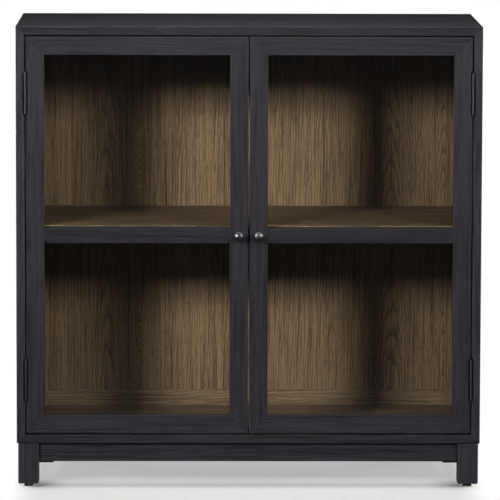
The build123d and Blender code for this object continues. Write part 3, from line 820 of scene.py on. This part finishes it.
# ---- Doors ----
# Each frame is charcoal oak, mitred at its corners, with a mid rail between its stiles. Every
# window is rebated behind for a pane, which four oak beads hold in.
GLASS_BEHIND, GLASS_THICK, GLASS_LAP = 0.010, 0.004, 0.008
PANE_LAP = 0.007  # a pane's own lap behind the wood, less than the rebate's by its clearance
BEAD_ARRIS, BEAD_GAP = 0.0008, 0.00005
for side, sign in (("left", 1), ("right", -1)):
    door = f"{side}_door"
    box = {
        part: extent(f"{door}_{part}")
        for part in ("hinge_stile", "meeting_stile", "top_rail", "upper_glass", "lower_glass")
    }
    foot, head = box["hinge_stile"][0][2], box["hinge_stile"][1][2]
    door_front = box["hinge_stile"][0][1]
    stile_wide = box["hinge_stile"][1][0] - box["hinge_stile"][0][0]
    door_thick = box["hinge_stile"][1][1] - door_front
    outer_x = box["hinge_stile"][0 if sign > 0 else 1][0]
    meeting_x = box["meeting_stile"][1 if sign > 0 else 0][0]
    rail_wide = box["top_rail"][1][2] - box["top_rail"][0][2]
    mid_low = box["lower_glass"][1][2] - PANE_LAP
    mid_high = box["upper_glass"][0][2] + PANE_LAP
    door_wide = abs(meeting_x - outer_x)

    def stile_section(kind, rebated):
        """A stile's section: across is in from its outer edge, through is behind its front."""
        if rebated:
            back = [
                (stile_wide - GLASS_LAP, GLASS_BEHIND),
                (stile_wide - GLASS_LAP, door_thick),
            ]
        else:
            back = [(stile_wide, door_thick), (stile_wide - GLASS_LAP, door_thick)]
        corners = [(stile_wide, 0), (stile_wide, GLASS_BEHIND), *back, (0, door_thick)]
        radii = [ARRIS, 0, 0, 0, ARRIS]
        if kind is None:
            return section([(0, 0), *corners], [ARRIS, *radii])
        hinge = hinge_corner(kind, lambda behind, into: (into, behind))
        return section(
            [*corners, *hinge], [*radii, 0, 0, 0, ARRIS if kind == "whole" else 0, 0]
        )

    crossing = [mid_low + GLASS_LAP - foot, mid_high - GLASS_LAP - foot]
    panels = {kind: stile_section(kind, True) for kind in ("whole", "notched", "let_in")}
    hinge_stations = [(s, shape) for s, (shape, _, _) in hinge_steps(panels, foot)]
    whole_across = stile_section("whole", False)[0]
    stations = hinge_stations[: len(hinge_stations) // 2]
    stations += [
        (crossing[0], panels["whole"][0]),
        (crossing[0], whole_across),
        (crossing[1], whole_across),
        (crossing[1], panels["whole"][0]),
    ]
    stations += hinge_stations[len(hinge_stations) // 2 :]
    mitred = ((0, 1, 0), (head - foot, -1, 0))
    # The tones of this door's stiles and rails lighten or darken whole pieces: partly their own stain,
    # partly painted light and shade.
    made(
        f"{door}_hinge_stile",
        [
            board(
                panels["whole"],
                mitred,
                (UP, sign * RIGHT, BACK),
                np.array([outer_x, door_front, foot]),
                pith=(0.07 if sign > 0 else -0.11, 0.05),
                changes=stations,
                arris_corners=(0, 4, 8),
            )
        ],
        [charcoal_oak],
        door,
        [f"{door}_hinge_stile"],
        tone=0.22,
    )
    plain, across_mid = stile_section(None, True), stile_section(None, False)[0]
    made(
        f"{door}_meeting_stile",
        [
            board(
                plain,
                mitred,
                (UP, -sign * RIGHT, BACK),
                np.array([meeting_x, door_front, foot]),
                pith=(-0.09 if sign > 0 else 0.10, 0.06),
                changes=[
                    (crossing[0], plain[0]),
                    (crossing[0], across_mid),
                    (crossing[1], across_mid),
                    (crossing[1], plain[0]),
                ],
                arris_corners=(0, 1, 5),
            )
        ],
        [charcoal_oak],
        door,
        [f"{door}_meeting_stile"],
        tone=0.06 if sign > 0 else 0.0,
    )
    for rail, start, down, pith, tone in (
        ("top_rail", head, -UP, (0.09, 0.05), -0.16 + 0.08 * sign),
        ("bottom_rail", foot, UP, (-0.06, 0.07), 0.02),
    ):
        made(
            f"{door}_{rail}",
            [
                board(
                    stile_section(None, True),
                    ((0, 1, 0), (door_wide, -1, 0)),
                    (sign * RIGHT, down, BACK),
                    np.array([outer_x, door_front, start]),
                    pith=pith,
                    arris_corners=(0, 1, 5),
                )
            ],
            [charcoal_oak],
            door,
            [f"{door}_{rail}"],
            tone=tone,
        )
    mid_wide = mid_high - mid_low
    tee = section(
        [
            (0, 0),
            (mid_wide, 0),
            (mid_wide, GLASS_BEHIND),
            (mid_wide - GLASS_LAP, GLASS_BEHIND),
            (mid_wide - GLASS_LAP, door_thick),
            (GLASS_LAP, door_thick),
            (GLASS_LAP, GLASS_BEHIND),
            (0, GLASS_BEHIND),
        ],
        [ARRIS, ARRIS, 0, 0, 0, 0, 0, 0],
    )
    window = (stile_wide, door_wide - stile_wide)
    made(
        f"{door}_mid_rail",
        [
            board(
                tee,
                ((window[0], 0, 0), (window[1], 0, 0)),
                (sign * RIGHT, UP, BACK),
                np.array([outer_x, door_front, mid_low]),
                pith=(0.08, 0.06),
                arris_corners=(0, 1),
            )
        ],
        [charcoal_oak],
        door,
        [f"{door}_mid_rail"],
        tone=-0.36,
    )
    bead_deep = door_thick - GLASS_BEHIND - GLASS_THICK
    bead_front = door_front + door_thick - bead_deep
    bead = rectangle(GLASS_LAP, bead_deep, BEAD_ARRIS)
    windows = ((foot + rail_wide, mid_low), (mid_high, head - rail_wide))
    beads = []
    for low_z, high_z in windows:
        for z in (low_z - GLASS_LAP, high_z):
            beads.append(
                board(
                    bead,
                    ((window[0] - GLASS_LAP, 0, 0), (window[1] + GLASS_LAP, 0, 0)),
                    (sign * RIGHT, UP, BACK),
                    np.array([outer_x, bead_front, z]),
                    pith=(0.05, 0.05),
                    arris_corners=ALL_ARRISES,
                )
            )
        for x in (window[0] - GLASS_LAP, window[1]):
            beads.append(
                board(
                    bead,
                    ((BEAD_GAP, 0, 0), (high_z - low_z - BEAD_GAP, 0, 0)),
                    (UP, sign * RIGHT, BACK),
                    np.array([outer_x + sign * x, bead_front, low_z]),
                    pith=(0.05, 0.05),
                    arris_corners=ALL_ARRISES,
                )
            )
    made(
        f"{door}_glazing_beads",
        beads,
        [charcoal_oak],
        door,
        [f"{door}_glazing_beads"],
    )


# ---- Panes ----
# Clear 4 mm glass with ground edges, one behind each window, with a trace of dust and the faint
# smears that a cloth leaves.
PANE_ARRIS = 0.0006
BOTH_FACES = 1.8  # what a pane's two faces mirror, as a share of what one does
DUST, SMEARED_DUST = 0.0014, 0.0012  # the share of the light that dust catches, and more on smears


def pane_glass():
    """Clear glass: light passes straight through, and the rest, Fresnel's share for a pane's
    two faces, is mirrored where it enters and nowhere inside. Dust lies on the face it enters."""
    finish, tree, out = blank_finish("clear_glass")
    place = wire(tree, "ShaderNodeTexCoord").outputs["Object"]
    smears = ramp(tree, grainy(tree, place, (9, 9, 5), 4.0), (0.45, 0.0), (0.80, 1.0))
    rough = sums(tree, "MULTIPLY_ADD", smears, 0.10, 0.02)
    mirrored = wire(
        tree, "ShaderNodeBsdfGlossy", {"Color": (1, 1, 1, 1), "Roughness": rough}
    )
    clear = wire(tree, "ShaderNodeBsdfTransparent", {"Color": (0.965, 0.975, 0.97, 1)})
    inside = wire(tree, "ShaderNodeNewGeometry").outputs["Backfacing"]
    entering = sums(tree, "SUBTRACT", 1.0, inside)
    share = wire(tree, "ShaderNodeFresnel", {"IOR": 1.5}).outputs[0]
    share = sums(tree, "MINIMUM", sums(tree, "MULTIPLY", share, BOTH_FACES), 1.0)
    share = sums(tree, "MULTIPLY", share, entering)
    mixed = wire(
        tree,
        "ShaderNodeMixShader",
        {0: share, 1: clear.outputs[0], 2: mirrored.outputs[0]},
    )
    film = wire(tree, "ShaderNodeBsdfDiffuse", {"Color": (0.8, 0.8, 0.8, 1)})
    dust = sums(tree, "MULTIPLY_ADD", smears, SMEARED_DUST, DUST)
    dusty = wire(
        tree,
        "ShaderNodeMixShader",
        {0: sums(tree, "MULTIPLY", dust, entering), 1: mixed.outputs[0], 2: film.outputs[0]},
    )
    tree.links.new(dusty.outputs[0], out.inputs["Surface"])
    return finish


clear_glass = pane_glass()
for side in ("left", "right"):
    for window in ("upper", "lower"):
        name = f"{side}_door_{window}_glass"
        low, high = extent(name)
        made(
            name,
            [
                board(
                    rectangle(high[0] - low[0], high[1] - low[1], PANE_ARRIS),
                    ((0, 0, 0), (high[2] - low[2], 0, 0)),
                    (UP, RIGHT, BACK),
                    low,
                    pith=(0, 0),
                    end_arris=(PANE_ARRIS, PANE_ARRIS),
                )
            ],
            [clear_glass],
            f"{side}_door",
            [name],
        )


# ---- Hinges ----
# Butt hinges of gunmetal-plated steel, two to a door, let into the door and the case and
# screwed. Their barrels and capped pins stand a little proud in front.
gunmetal = steel(
    "gunmetal", colour=(0.046, 0.045, 0.049), dull=(0.028, 0.0275, 0.029), rough=0.38, spotted=0.8
)
for node in (
    "case_hinge_leaves",
    "case_hinge_screws",
    "hinge_pins",
    "left_door_hinge_leaves",
    "right_door_hinge_leaves",
    "left_door_hinge_screws",
    "right_door_hinge_screws",
):
    dressed(node, gunmetal)


# ---- Knobs ----
# Low domed knobs turned from steel and blackened, each on a short neck that spreads to a foot
# against the stile, where a screw from behind holds it.
KNOB_DOME, RIM_HIGH, RIM_ROUND, RIM_BACK = 0.020, 0.003, 0.0008, 0.0006
FOOT_RADIUS, FOOT_HIGH, FOOT_BEVEL, FOOT_FILLET = 0.0065, 0.0020, 0.0005, 0.0006
NECK_RADIUS, NECK_HIGH = 0.0045, 0.0145
knob_steel = steel(
    "blackened_steel", colour=(0.060, 0.060, 0.062), dull=(0.040, 0.040, 0.042), rough=0.30, spotted=0.8
)
for side in ("left", "right"):
    name = f"{side}_door_knob"
    low, high = extent(name)
    radius, reach = (high[0] - low[0]) / 2, high[1] - low[1]
    drop = KNOB_DOME - math.sqrt(KNOB_DOME**2 - radius**2)
    sweep = np.linspace(1, 0, 13)
    dome_r = (radius - RIM_ROUND) * sweep
    dome = np.stack([dome_r, reach - KNOB_DOME + np.sqrt(KNOB_DOME**2 - dome_r**2)], axis=1)
    rim = [
        (0, 0),
        (FOOT_RADIUS, 0),
        (FOOT_RADIUS, FOOT_HIGH - FOOT_BEVEL),
        (FOOT_RADIUS - FOOT_BEVEL, FOOT_HIGH),
        (NECK_RADIUS, FOOT_HIGH + FOOT_FILLET),
        (NECK_RADIUS, NECK_HIGH),
        (radius - RIM_BACK, reach - drop - RIM_HIGH),
        (radius, reach - drop - RIM_HIGH + RIM_BACK),
        (radius, reach - drop - RIM_ROUND),
        (radius - ROUND_MIDDLE * RIM_ROUND, reach - drop - ROUND_MIDDLE * RIM_ROUND),
    ]
    made(
        name,
        [
            turned(
                [*rim, *dome.tolist()],
                ((low[0] + high[0]) / 2, high[1], (low[2] + high[2]) / 2),
                -BACK,
            )
        ],
        [knob_steel],
        f"{side}_door",
        [name],
    )


# ---- Catches ----
# Two magnetic catches in black nylon cases, screwed up under the top at the middle, one for
# the steel strike behind each door.
dressed("door_catches", black_nylon)


# ---- Floor and light ----
# A pale studio floor that runs out into white. Near the cabinet the camera sees it darker, a
# painted soft shadow, and a glow on it is dimmed beside the legs and under the aprons, painted
# contact shade. Two tall soft boxes stand in front, one at each side, a small one hangs over the
# top, two light the back, and the air gives a soft even light.
FLOOR_HALF, FLOOR_STEPS = 6.0, 9
FLOOR_GAIN = 0.25  # how much of its light the floor near the cabinet shows a camera
# A glow that a camera sees on the floor near the cabinet, where nothing shelters it; dimmed near the
# legs, glides and aprons, it is painted contact shade.
FLOOR_GLOW = 0.42  # what is added where nothing shelters it
FLOOR_TO_WOOD, FLOOR_IN_MIRROR = 0.17, 0.08  # how pale it is to the cabinet, and in its glass
# How far the painted contact shade reaches.
SHELTER_REACH = 0.07
# Within this patch the floor is kept darker than the white beyond it: a painted soft shadow of the
# cabinet, in which the lamps cast their own shadows too.
FLOOR_SHADE = (0.45, 0.50, 0.0)  # the half sizes of the patch that isn't white yet
FADE_RATE = (2.6, 1, 1)  # how much sooner it fades to the sides than front and back
AIR_FRONT, AIR_BEHIND = 0.016, 0.10  # how bright the air is before and behind the cabinet
CABINET_MIDDLE = 0.55
# Each soft box: how far it is turned and raised in degrees, its distance, its size, its power,
# the height that it looks at, and the spread of its light in degrees.
SOFT_BOXES = (
    ("left_soft_box", -34.4, 18.3, 6.8, (1.10, 1.2), 27.5, 0.8, 36),
    ("right_soft_box", 32.9, 18.3, 6.8, (1.45, 1.2), 20.5, 0.8, 36),
    ("top_soft_box", 0, 85, 0.98, (1.2, 0.25), 22, 0.9, 180),
    ("rear_left_soft_box", -125, 0, 5.0, (1.6, 0.85), 22, CABINET_MIDDLE, 36),
    ("rear_right_soft_box", 125, 0, 5.0, (1.6, 0.85), 22, CABINET_MIDDLE, 36),
)


def studio_floor():
    """A matt pale floor, a little mottled, which a camera sees fade into the white far off.
    Near the cabinet a camera sees it darker, which is a painted soft shadow, and a glow that
    occlusion dims, which paints contact shade beside the legs and under the aprons.
    """
    finish, tree, out = blank_finish("studio_floor")
    place = wire(tree, "ShaderNodeTexCoord").outputs["Object"]
    mottle = sums(tree, "MULTIPLY_ADD", grainy(tree, place, (3, 3, 3), 3.0), 0.06, 0.77)
    path = wire(tree, "ShaderNodeLightPath").outputs
    less = FLOOR_IN_MIRROR - FLOOR_TO_WOOD
    unseen = sums(tree, "MULTIPLY_ADD", path["Is Glossy Ray"], less, FLOOR_TO_WOOD)
    plain = wire(tree, "ShaderNodeBsdfDiffuse", {"Color": unseen})
    dimmed = sums(tree, "MULTIPLY", mottle, FLOOR_GAIN)
    near = wire(tree, "ShaderNodeBsdfDiffuse", {"Color": dimmed})
    # Occlusion dims the glow beside the legs and under the aprons: painted contact shade.
    shelter = wire(tree, "ShaderNodeAmbientOcclusion", {"Distance": SHELTER_REACH}, samples=8)
    open_share = ramp(tree, shelter.outputs["AO"], (0.40, 0.0), (0.97, 1.0))
    shaded_glow = sums(tree, "MULTIPLY", open_share, FLOOR_GLOW)
    lift = wire(tree, "ShaderNodeEmission", {"Strength": shaded_glow})
    under = wire(tree, "ShaderNodeAddShader", {0: near.outputs[0], 1: lift.outputs[0]})
    white = wire(tree, "ShaderNodeEmission", {"Color": (1, 1, 1, 1), "Strength": 1.0})
    away = wire(tree, "ShaderNodeVectorMath", {0: place}, operation="ABSOLUTE")
    for operation, step in (
        ("SUBTRACT", FLOOR_SHADE),
        ("MULTIPLY", FADE_RATE),
        ("MAXIMUM", (0, 0, 0)),
        ("LENGTH", (0, 0, 0)),
    ):
        sockets = {0: away.outputs[0], 1: step}
        away = wire(tree, "ShaderNodeVectorMath", sockets, operation=operation)
    # The white fades in only outside the painted shadow's patch.
    fade = ramp(tree, sums(tree, "MULTIPLY", away.outputs["Value"], 2.0), (0.0, 0.0), (0.40, 1.0))
    fade.node.color_ramp.interpolation = "EASE"
    mixed = wire(
        tree, "ShaderNodeMixShader", {0: fade, 1: under.outputs[0], 2: white.outputs[0]}
    )
    shown = wire(
        tree,
        "ShaderNodeMixShader",
        {0: path["Is Camera Ray"], 1: plain.outputs[0], 2: mixed.outputs[0]},
    )
    tree.links.new(shown.outputs[0], out.inputs["Surface"])
    return finish


floor_mesh = bpy.data.meshes.new("studio_floor")
span = np.linspace(-FLOOR_HALF, FLOOR_HALF, FLOOR_STEPS)
floor_x, floor_y = np.meshgrid(span, span, indexing="ij")
grid = np.arange(FLOOR_STEPS**2).reshape(FLOOR_STEPS, FLOOR_STEPS)
floor_corners = np.stack([floor_x, floor_y, 0 * floor_x], axis=-1).reshape(-1, 3)
floor_faces = np.stack([grid[:-1, :-1], grid[1:, :-1], grid[1:, 1:], grid[:-1, 1:]], axis=-1)
floor_mesh.from_pydata(floor_corners.tolist(), [], floor_faces.reshape(-1, 4).tolist())
floor_mesh.materials.append(studio_floor())
floor = bpy.data.objects.new("studio_floor", floor_mesh)
scene.collection.objects.link(floor)
floor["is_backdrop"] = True


def aimed(spot, target):
    """The matrix of something at spot whose -Z looks at target, with its X level."""
    backward = np.array(spot, float) - np.array(target, float)
    backward /= np.linalg.norm(backward)
    level = np.cross(UP, backward)
    level /= np.linalg.norm(level)
    columns = np.stack([level, np.cross(backward, level), backward], axis=1)
    matrix = Matrix.Identity(4)
    for row in range(3):
        matrix[row][:3] = columns[row]
        matrix[row][3] = spot[row]
    return matrix


for name, turned_by, raised_by, distance, size, power, aim, spread in SOFT_BOXES:
    turn, lift = math.radians(turned_by), math.radians(raised_by)
    target = np.array([0, front_y, CABINET_MIDDLE])
    out = np.array(
        [math.sin(turn) * math.cos(lift), -math.cos(turn) * math.cos(lift), math.sin(lift)]
    )
    light = bpy.data.lights.new(name, "AREA")
    light.shape = "RECTANGLE"
    light.size, light.size_y = size
    light.energy = power
    light.spread = math.radians(spread)
    lamp = bpy.data.objects.new(name, light)
    lamp.matrix_world = aimed(target + distance * out, np.array([0, front_y, aim]))
    scene.collection.objects.link(lamp)
    lamp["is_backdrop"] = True


def studio_air():
    """White all round for the camera, and a dimmer even light for everything else."""
    world = bpy.data.worlds.new("studio_air")
    scene.world = world
    world.use_nodes = True
    tree = world.node_tree
    tree.nodes.clear()
    out = tree.nodes.new("ShaderNodeOutputWorld")
    seen = wire(tree, "ShaderNodeLightPath").outputs["Is Camera Ray"]
    direction = wire(tree, "ShaderNodeTexCoord").outputs["Generated"]
    behind = wire(tree, "ShaderNodeSeparateXYZ", {"Vector": direction}).outputs[1]
    glow = ramp(tree, behind, (0.0, AIR_FRONT), (0.35, AIR_BEHIND))
    strength = sums(tree, "MAXIMUM", seen, glow)
    air = wire(tree, "ShaderNodeBackground", {"Color": (1, 1, 1, 1), "Strength": strength})
    tree.links.new(air.outputs[0], out.inputs["Surface"])


studio_air()

# ---- Camera ----
# A long lens ten paces off, at the height of a standing person's eyes, a hair to the left of
# the middle and tipped down.
CAMERA_SPOT = (-0.1189, front_y - 9.7375, 1.6597)
YAW, PITCH, ROLL = math.radians(0.7142), math.radians(6.6451), math.radians(0.1635)
SENSOR = 36.0
LENS = 323.28

forward = np.array(
    [math.sin(YAW) * math.cos(PITCH), math.cos(YAW) * math.cos(PITCH), -math.sin(PITCH)]
)
level = np.array([math.cos(YAW), -math.sin(YAW), 0])
upright = np.cross(level, forward)
columns = (
    math.cos(ROLL) * level + math.sin(ROLL) * upright,
    -math.sin(ROLL) * level + math.cos(ROLL) * upright,
    -forward,
)
camera_data = bpy.data.cameras.new("camera")
camera_data.sensor_width = SENSOR
camera_data.lens = LENS
camera = bpy.data.objects.new("camera", camera_data)
placed = Matrix.Identity(4)
for row in range(3):
    placed[row][:3] = [column[row] for column in columns]
    placed[row][3] = CAMERA_SPOT[row]
camera.matrix_world = placed
scene.collection.objects.link(camera)
scene.camera = camera
scene.view_settings.view_transform = "Standard"

boxes = {"cad": cad_box, "visual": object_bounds()}
plain_boxes = {
    name: [[float(v) for v in corner] for corner in box] for name, box in boxes.items()
}
